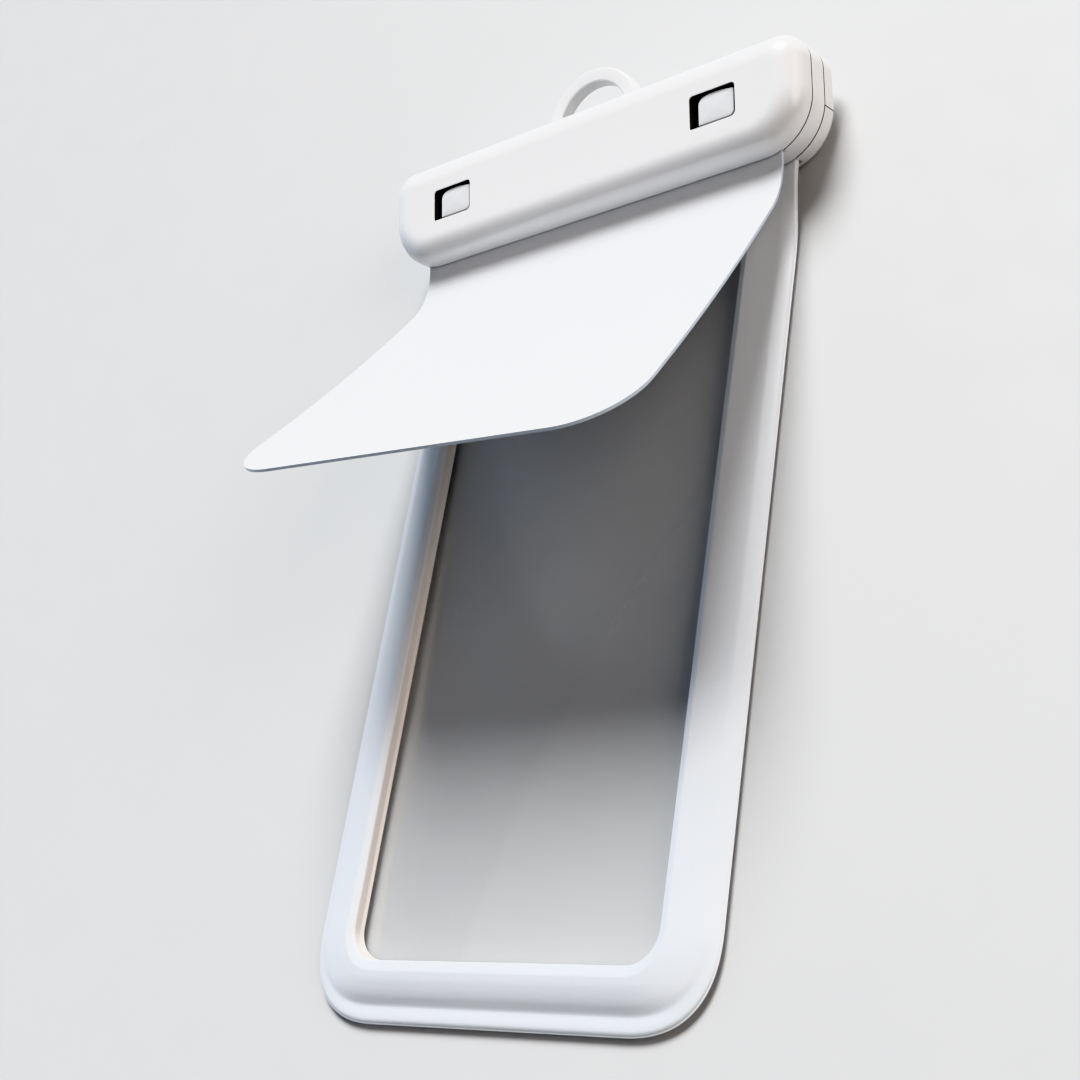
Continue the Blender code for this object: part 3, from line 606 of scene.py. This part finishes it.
def build_floor_film():
    """Clear film, flat under the bay and rising into the clasp at the neck."""
    neck_z = NECK_UNDER - 0.3 - FILM / 2
    neck_start = CLASP_Y - NECK_RUN

    def place(x, share, cut):
        low = TRAY_BOTTOM + 0.3 + cut
        reach = CLASP_Y - low
        along = share * (reach + HELD)
        if along > reach:
            return from_clasp(x, along - reach, neck_z)
        seat = from_clasp(x, 0, neck_z)
        y = low + along
        if y <= neck_start:
            return Vector((x, y, FILM / 2))
        part = (y - neck_start) / NECK_RUN
        rise = part * part * (3 - 2 * part)
        return Vector((x, y + (seat.y - CLASP_Y) * part, FILM / 2 + (seat.z - FILM / 2) * rise))

    corner = BAY_CORNER + (RIM_WIDTH + BOTTOM_RIM) / 2
    return sheet_grid("clear_back_film", columns(TRAY_HALF - 0.3, corner, 12, 10), 104, place, [clear])


flap = build_flap()
back_film = build_floor_film()


# What rides on what

for piece, node in ((front, "front_plate"), (middle, "middle_plate"), (flap, "front_flap")):
    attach(piece, "front_jaw")
    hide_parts(node)
for piece, node in ((strip, "neck_strip"), (rear, "rear_cover"), (rim, "padded_rim"), (back_film, "back_film")):
    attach(piece, "rear_jaw")
    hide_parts(node)
for piece, side in zip(latches, ("left", "right")):
    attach(piece, f"{side}_latch")
    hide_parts(f"latch_{side}")
for node, mat in (("mouth_gasket", rubber), ("hinge_pin_left", steel), ("hinge_pin_right", steel)):
    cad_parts[node].data.materials.clear()
    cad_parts[node].data.materials.append(mat)


# Floor, light and camera

def soft_light(name, place, strength, spread, colour):
    """Even light from the direction of place, as wide as spread in degrees."""
    data = bpy.data.lights.new(name, "SUN")
    data.energy, data.angle, data.color = strength, math.radians(spread), colour
    lamp = bpy.data.objects.new(name, data)
    lamp.location = place
    lamp.rotation_euler = (-Vector(place)).to_track_quat("-Z", "Y").to_euler()
    bpy.context.scene.collection.objects.link(lamp)


floor_mat = material("pale_floor", (0.50, 0.505, 0.51), 0.6, 0.0, blotch=0.004)
bpy.ops.mesh.primitive_plane_add(size=40, location=(0, 0, -0.0002))
ground = bpy.context.object
ground.name = "floor"
ground.data.materials.append(floor_mat)

soft_light("top_key", (-0.03, 1.16, 1.06), 6.0, 30, (1.0, 1.0, 1.0))
soft_light("left_cool", (-1.8, 0.1, 0.6), 0.5, 50, (0.5, 0.72, 1.0))
soft_light("right_warm", (1.2, 0.08, 0.6), 1.3, 40, (1, 0.87, 0.77))


def studio_world():
    """Soft surround: pale at the horizon, brighter behind than in front, cool on the left and warm on the right."""
    world = bpy.data.worlds.new("studio")
    world.use_nodes = True
    tree = world.node_tree
    place = tree.nodes.new("ShaderNodeTexCoord")
    split = tree.nodes.new("ShaderNodeSeparateXYZ")
    tree.links.new(place.outputs["Generated"], split.inputs[0])

    def ranged(source, limits, levels):
        node = tree.nodes.new("ShaderNodeMapRange")
        for key, value in zip(("From Min", "From Max", "To Min", "To Max"), (*limits, *levels)):
            node.inputs[key].default_value = value
        tree.links.new(source, node.inputs["Value"])
        return node.outputs["Result"]

    side = tree.nodes.new("ShaderNodeValToRGB")
    side.color_ramp.elements[0].color = (0.84, 0.91, 1.0, 1)
    side.color_ramp.elements[1].color = (1.0, 0.95, 0.91, 1)
    tree.links.new(ranged(split.outputs["X"], (-0.6, 0.6), (0, 1)), side.inputs["Fac"])
    horizon = ranged(split.outputs["Z"], (0.06, 0.16), (0.6, 0))
    overhead = ranged(split.outputs["Y"], (-0.7, 0.7), (0.05, 0.2))
    level = tree.nodes.new("ShaderNodeMath")
    tree.links.new(horizon, level.inputs[0])
    tree.links.new(overhead, level.inputs[1])
    tree.links.new(side.outputs["Color"], tree.nodes["Background"].inputs["Color"])
    tree.links.new(level.outputs[0], tree.nodes["Background"].inputs["Strength"])
    bpy.context.scene.world = world


studio_world()
bpy.context.scene.view_settings.view_transform = "Khronos PBR Neutral"
bpy.context.scene.view_settings.look = "None"

camera_data = bpy.data.cameras.new("camera")
camera_data.lens, camera_data.sensor_width = 55.5, 36.0
camera_data.clip_start = 0.01
camera = bpy.data.objects.new("camera", camera_data)
bpy.context.scene.collection.objects.link(camera)
# Its right, its up and its back
turn = Matrix(((0.7706, 0.1493, -0.6196), (0.1406, 0.9084, 0.3938), (0.6216, -0.3906, 0.679))).transposed()
camera.matrix_world = Matrix.Translation((0.2456, -0.1652, 0.2788)) @ turn.to_4x4()
bpy.context.scene.camera = camera
